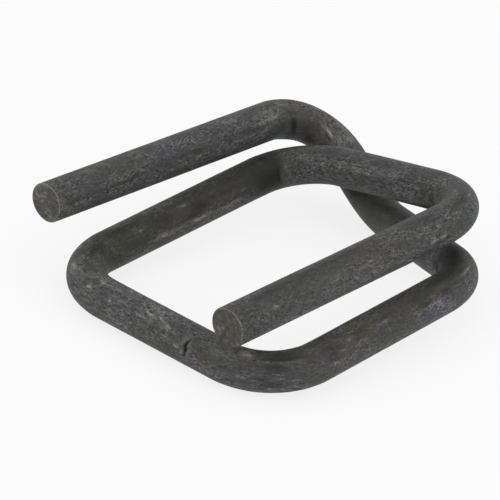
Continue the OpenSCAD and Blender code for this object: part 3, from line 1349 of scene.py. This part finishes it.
def front_bar_stains_and_light() -> list[Patch]:
    """Stains and scuffed spots of the front bar, dark olive along its top, and of its left corner, with
    painted light.

    Returns:
        The patches there.
    """
    front_bar = {
        Layer.RUST: [
            (1.6, -27, 1, 0.45, 1), (5.7, -24, 1.4, 0.55, 1), (9.4, -33, 1.3, 0.4, 0.9),
            (11, -52, 1.3, 0.35, 0.8), (12.1, -44, 1, 0.35, 0.8), (13.8, -64, 1, 0.3, 0.8),
            (14.4, -36, 1.6, 0.6, 1), (16.6, -26, 1.2, 0.5, 0.8),
        ],
        Layer.OLIVE: [(7.2, -50, 1.6, 0.5, 0.7), (7.6, -20, 9.2, 0.85, 0.8, 0, 3)],
        Layer.VIOLET: [(2.5, -92, 2.8, 0.75, 1, 0, 4)],
        Layer.PALE: [(1.2, -85, 2.6, 0.5, 0.5), (2.7, -68, 1, 0.22, 0.7)],
        Layer.SOOT_AND_SHADE: [
            (0.2, -104, 1.2, 0.4, 0.35), (0.5, -5, 1.8, 0.6, 0.5), (1.2, -44, 1, 0.3, 0.5),
            (1.6, -8, 1.6, 0.3, 0.5), (4, -52, 1.3, 0.35, 0.5), (4.4, -25, 2.4, 0.5, 0.5),
            (8.4, -24, 1.6, 0.35, 0.45), (11.9, -28, 1.2, 0.4, 0.5), (12.1, -44, 0.7, 0.25, 0.35),
            (14.2, -52, 1.4, 0.4, 0.4, 0.4), (15.2, -30, 1.4, 0.5, 0.5), (15.5, -61, 0.8, 0.35, 0.42),
        ],
        Layer.CHALK_AND_LIGHT: [
            (3, -60, 0.9, 0.1, 0.7, 0.3), (9, -38, 0.5, 0.15, 0.5, 0.6), (11.7, -54, 0.5, 0.12, 0.55, 0.8),
            (12.8, -34, 0.5, 0.16, 0.6, -0.8), (14, -52, 0.6, 0.16, 0.6, 0.5), (15.2, -74, 0.3, 0.12, 0.8),
        ],
        Layer.SMOOTH: [(9.5, -86, 6.5, 1, 0.2, 0, 4)],
    }
    front_left = {
        Layer.RUST: [(5.6, -48, 0.9, 0.5, 0.9)],
        Layer.OLIVE: [(3, -2, 2.6, 0.9, 0.8), (3.6, -60, 1.6, 0.5, 0.6), (6.1, -14, 0.9, 0.6, 1)],
        Layer.VIOLET: [(4.6, -96, 1.8, 0.5, 0.5)],
        # (7.2, -14) is a pale spot with painted light, lightening what the front prong's end shades
        Layer.PALE: [(1.6, -85, 1.5, 0.6, 0.3), (7.2, -14, 1.8, 1, 1, 0, 3), (7.4, -95, 1.4, 0.7, 0.5)],
        Layer.SOOT_AND_SHADE: [
            (3.4, -14, 1.6, 0.5, 0.55), (3.5, -27, 1.3, 0.16, 1), (4, -45, 1, 0.35, 0.55),
            (4, -58, 0.9, 0.3, 0.4), (4.1, -100, 1.2, 0.4, 0.5), (4.8, -80, 1, 0.4, 0.42),
        ],
        Layer.CHALK_AND_LIGHT: [
            # (6.1, -14) and (7.3, -12) are a tan spot with painted light, lightening what the front prong's
            # end shades
            (3.6, -36, 1, 0.1, 0.45), (6.1, -14, 0.55, 0.5, 0.7, 0, 4), (7.3, -12, 0.7, 0.6, 0.45),
        ],
        Layer.SMOOTH: [(2.9, -86, 1.4, 0.5, 0.5)],
    }
    return spots_on(Run.FRONT_BAR, front_bar) + spots_on(Run.FRONT_LEFT, front_left)


def left_side_stains() -> list[Patch]:
    """Stains and scuffed spots of the left side, with its light flecks, and of its back corner.

    Returns:
        The patches there.
    """
    left_side = {
        Layer.RUST: [(0.9, -64, 1, 0.5, 1), (1.5, 12, 0.7, 0.3, 0.6)],
        Layer.VIOLET: [(4.7, -5, 1.7, 0.3, 0.9), (8, -50, 6, 1.3, 0.3, 0, 4), (11.5, -8, 1, 0.45, 1.2)],
        Layer.TEAL: [(7.8, -8, 0.9, 0.4, 1)],
        Layer.PALE: [
            (0.6, -50, 1, 0.5, 0.6), (6.4, -40, 1.8, 0.7, 0.6), (10, 4, 3.8, 0.7, 1, 0, 4),
            (11.4, -42, 2.2, 0.9, 0.4),
        ],
        Layer.SOOT_AND_SHADE: [
            (3.1, 0, 1.6, 0.4, 0.4), (5.2, -60, 0.7, 0.3, 0.4), (8.9, -70, 0.9, 0.35, 0.35),
            (9.2, -44, 1.6, 0.5, 0.4), (10.7, -58, 0.7, 0.3, 0.3),
        ],
        Layer.CHALK_AND_LIGHT: [
            (2.7, -72, 0.46, 1.05, 0.3, 0, 4), (3.6, -81, 0.3, 0.1, 1), (5.1, -42, 0.25, 0.1, 0.7, 1.2),
            (6, -35, 0.2, 0.1, 0.8, 1.2), (6.2, -31, 0.2, 0.1, 0.8), (7.2, -35, 0.17, 0.13, 1.3),
            (7.6, -33, 0.2, 0.13, 1.4, 1), (7.8, -6, 0.9, 0.35, 0.3), (8.2, -52, 0.8, 0.07, 0.8),
            (8.5, -50, 5, 1.1, 0.1, 0, 4), (9.7, -44, 0.4, 0.08, 0.6, -1), (10.5, -98, 1.4, 0.06, 0.5),
            (10.6, 4, 0.35, 0.12, 1), (11.5, -57, 0.2, 0.13, 1.1),
        ],
    }
    back_left = {
        Layer.OLIVE: [(8.6, 50, 3.2, 1.7, 1, 0, 4)],
        Layer.VIOLET: [(2.3, -58, 0.9, 0.25, 1.2, 1)],
        Layer.PALE: [
            (0.2, -73, 1, 0.5, 0.7), (1.6, -30, 1.4, 0.8, 0.3), (3.6, -20, 1.2, 0.7, 0.6),
            (3.6, -50, 1.1, 0.5, 0.9),
        ],
        Layer.SOOT_AND_SHADE: [(4.7, 8, 1.3, 0.25, 0.5), (6.2, 30, 1.2, 0.8, 0.5)],
        Layer.CHALK_AND_LIGHT: [
            (0, -16, 0.3, 0.13, 1.2), (0.75, -48, 0.25, 0.12, 1.2), (2.6, -34, 1.6, 0.6, 0.2, 0, 3),
            (3, -37, 0.12, 0.25, 1.2, -2.3), (3.8, -48, 0.3, 0.14, 1.5), (6, -45, 0.5, 0.1, 0.6),
        ],
    }
    return spots_on(Run.LEFT_SIDE, left_side) + spots_on(Run.BACK_LEFT, back_left)


def back_bar_stains_and_shade() -> list[Patch]:
    """Stains and scuffed spots of the back bar, dark olive with rust over a light crust, and its right
    corner, partly painted shade.

    Returns:
        The patches there.
    """
    back_bar = {
        Layer.RUST: [
            (6.2, 60, 1.1, 0.5, 1), (9.6, 48, 1.8, 0.6, 1), (9.6, 88, 1.8, 0.5, 0.6), (13.3, 46, 2, 0.6, 1),
        ],
        Layer.OLIVE: [(10.8, 44, 9.4, 1, 1, 0, 4), (11.6, 88, 1, 0.3, 0.6), (14, 78, 1.4, 0.4, 0.7)],
        Layer.PALE: [
            (0.1, 76, 1.2, 0.5, 0.6), (3, -20, 3, 0.25, 0.5), (5.8, 86, 1.4, 0.4, 0.6),
            (7, -4, 6.5, 0.4, 0.7, 0, 3), (13.4, 98, 2.4, 0.3, 0.5),
        ],
        Layer.SOOT_AND_SHADE: [
            (1.6, 20, 2, 0.6, 0.35), (5.6, 40, 2, 0.7, 0.4), (5.8, 53, 1.2, 0.6, 0.25),
            (9.1, 69, 1, 0.25, 0.55), (9.5, 48, 1.8, 0.5, 0.45), (10.2, 45, 1, 0.5, 0.3),
            (10.2, 55, 0.8, 0.2, 0.7, 1), (13, 22, 2.2, 0.7, 0.45), (13.4, 50, 1.8, 0.3, 0.45, 0.5),
            (16.2, 90, 0.1, 0.35, 1, 0.4), (16.8, 28, 2.4, 1.1, 0.65), (17.6, 35, 0.5, 0.2, 0.7),
            (17.9, 52, 1.2, 0.9, 0.6), (17.9, 8, 0.4, 0.2, 0.8), (18.2, 96, 1.5, 0.7, 1),
        ],
        Layer.CHALK_AND_LIGHT: [
            (3, 40, 0.25, 0.08, 0.8), (5.6, 84, 1.1, 0.22, 0.8, 0.4), (8.4, 30, 0.4, 0.12, 0.6),
            (9.6, 86, 1.6, 0.2, 0.85, 0.6), (13.6, 88, 1.2, 0.18, 0.7, 0.4), (15.2, 66, 0.3, 0.09, 0.4),
            (17.6, 34, 0.25, 0.1, 0.5), (18.6, 19, 0.2, 0.1, 0.9),
        ],
    }
    back_right = {
        Layer.PALE: [(2.6, 50, 0.6, 0.9, 0.3)],
        # the dark at the start of this corner is partly sooty stain, partly painted shade in the inner corner
        # where the back bar turns into the short side
        Layer.SOOT_AND_SHADE: [
            (0.2, 5, 0.45, 0.28, 1), (0.3, 55, 0.9, 0.9, 0.7), (0.7, 80, 1, 1.3, 0.55, 0.25, 3),
            (1.2, 28, 1.2, 0.9, 0.9), (4.2, 62, 1, 0.7, 0.35),
        ],
        Layer.CHALK_AND_LIGHT: [
            (2.4, 62, 0.12, 0.5, 0.35, 0.4), (4.6, 40, 0.4, 0.12, 0.5), (6.2, 38, 0.4, 0.12, 0.5),
            (7, 66, 0.4, 0.12, 0.6),
        ],
        Layer.SMOOTH: [(-1, 45, 3.4, 2.4, 0.9)],
    }
    return spots_on(Run.BACK_BAR, back_bar) + spots_on(Run.BACK_RIGHT, back_right)


def short_side_stains_and_shade() -> list[Patch]:
    """Stains and scuffed spots of the short side and its front corner, with painted shade in the corner's
    tool mark.

    Returns:
        The patches there.
    """
    short_side = {
        Layer.OLIVE: [(5.5, 25, 3, 0.7, 0.5)],
        Layer.VIOLET: [(1.6, 92, 1, 0.4, 0.8)],
        Layer.PALE: [(2.4, 62, 2.2, 0.8, 0.45), (5.2, 78, 1.8, 0.8, 0.7), (6.8, 46, 1.4, 0.6, 0.6)],
        Layer.SOOT_AND_SHADE: [(1.8, 136, 2, 0.5, 0.6), (7.8, 73, 0.8, 0.35, 0.35), (8.4, 63, 1, 0.1, 0.6)],
        Layer.CHALK_AND_LIGHT: [
            (0.9, 65, 0.5, 0.14, 0.8), (2.6, 52, 0.4, 0.1, 0.6, 1), (4.3, 68, 0.5, 0.1, 0.7, -1),
            (5.6, 80, 0.4, 0.1, 0.6), (8.4, 70, 0.6, 0.06, 0.9),
        ],
    }
    front_corner = {
        Layer.RUST: [(5.5, -80, 0.6, 0.3, 0.7)],
        Layer.OLIVE: [(0.6, 66, 1.3, 0.5, 0.7)],
        Layer.VIOLET: [(3.5, 35, 1, 0.6, 0.6), (5.5, 12, 1, 0.5, 1)],
        Layer.TEAL: [(7, -58, 0.6, 0.4, 0.8)],
        # (1.2, 105) is painted shade in the tool mark inside this bend
        Layer.SOOT_AND_SHADE: [(1.2, 105, 1.5, 0.5, 0.35), (6.2, -12, 1.6, 0.7, 0.4), (8.4, -12, 2.2, 0.9, 0.3)],
        Layer.CHALK_AND_LIGHT: [(5.2, 17, 0.25, 0.12, 0.7)],
    }
    return spots_on(Run.SHORT_SIDE, short_side) + spots_on(Run.FRONT_CORNER, front_corner)


def front_prong_stains_and_light() -> list[Patch]:
    """Stains and scuffed spots of the front prong, with the rough spot at its start and painted light along
    its lower edge.

    Returns:
        The patches there.
    """
    front_prong = {
        Layer.RUST: [(9.6, -42, 1.3, 0.5, 0.9), (10.8, -28, 1, 0.45, 0.8), (20.3, -40, 0.3, 0.1, 0.8)],
        Layer.OLIVE: [
            (7, -42, 1.3, 0.5, 0.7), (13, -14, 7, 0.7, 0.55), (15, -48, 2, 0.6, 0.4),
            (19, -45, 2.2, 0.7, 0.4), (24.5, -40, 0.9, 1.2, 0.6), (25.1, 50, 0.3, 1.4, 0.5),
        ],
        Layer.VIOLET: [(1.8, 8, 0.9, 0.4, 1.1)],
        Layer.PALE: [
            # (14, -106) is painted bounce light from the floor along the lower edge
            (7.4, -32, 1.3, 0.5, 0.6), (14, -106, 8, 0.8, 1, 0, 3), (14.6, -55, 2.5, 0.8, 0.6),
            (17.2, -42, 1.5, 0.5, 0.8), (21.8, -42, 1.2, 0.5, 0.6), (25.1, 115, 0.3, 0.4, 0.9),
        ],
        Layer.SOOT_AND_SHADE: [
            (1.1, -88, 0.3, 0.25, 1, 0, 4), (2.2, -92, 0.6, 0.18, 1, 0.5),
            (2.2, -72, 0.35, 0.18, 0.9, -0.7), (2.5, -18, 1.3, 0.6, 0.45), (10.5, 2, 6, 0.5, 0.4),
            (10.9, -78, 1, 0.4, 0.42), (14, -73, 0.9, 0.35, 0.42), (15.4, -62, 1, 0.35, 0.35),
            (18, -4, 5, 0.5, 0.35), (21.4, -10, 2.2, 0.5, 0.35), (25.1, 160, 0.3, 0.5, 0.6),
            (25.1, -78, 0.3, 0.25, 0.5), (25.1, -108, 0.3, 0.25, 0.5),
        ],
        Layer.CHALK_AND_LIGHT: [
            (1.7, -80, 0.5, 0.2, 0.8), (2.8, -82, 0.4, 0.2, 0.7), (10.2, -53, 0.2, 0.09, 1),
            # (18.5, -116) is painted bounce light from the floor along the lower edge
            (18.5, -116, 6, 0.35, 0.35, 0, 3), (21, -52, 0.3, 0.09, 1),
        ],
        Layer.SMOOTH: [(16.5, -50, 8.5, 2.2, 0.2, 0, 4)],
    }
    return spots_on(Run.FRONT_PRONG, front_prong)


def main() -> None:
    logging.basicConfig(level=logging.INFO, format="%(message)s")
    sizes = WireSizes()
    wire = BuckleWire(
        sizes=sizes,
        skin=PhosphateSkin(),
        back_end=CutEnd(skew=2.0, skew_turn=40.0, sharp_edge=0.09, rolled_edge=0.70, rolled_turn=-142.0),
        front_end=CutEnd(skew=4.5, skew_turn=-50.0, sharp_edge=0.09, rolled_edge=0.45, rolled_turn=140.0),
        nick=Nick(Run.LEFT_SIDE, sizes.nick_at - sizes.bend_r, sizes.nick_turn - 90.0),
        tool_marks=(ToolMark(lean=0.4, swell=0.22), *[ToolMark()] * (CORNER_BENDS - 1)),
        patches=(
            *back_prong_stains_and_shading(),
            *long_side_stains_and_shadow(),
            *front_bar_stains_and_light(),
            *left_side_stains(),
            *back_bar_stains_and_shade(),
            *short_side_stains_and_shade(),
            *front_prong_stains_and_light(),
        ),
    )
    piece = wire.build()
    log.info("%s: %d faces, %.1f mm of wire", piece.name, len(piece.data.polygons), wire.line.length)
    Studio(
        lamps=(
            Lamp("left_lamp", azimuth=-85.0, elevation=20.0, distance=0.5, size=0.4, level=0.14),
            Lamp("front_lamp", azimuth=5.0, elevation=12.0, distance=0.5, size=0.4, level=0.16),
        )
    ).build()


if __name__ == "__main__":
    main()
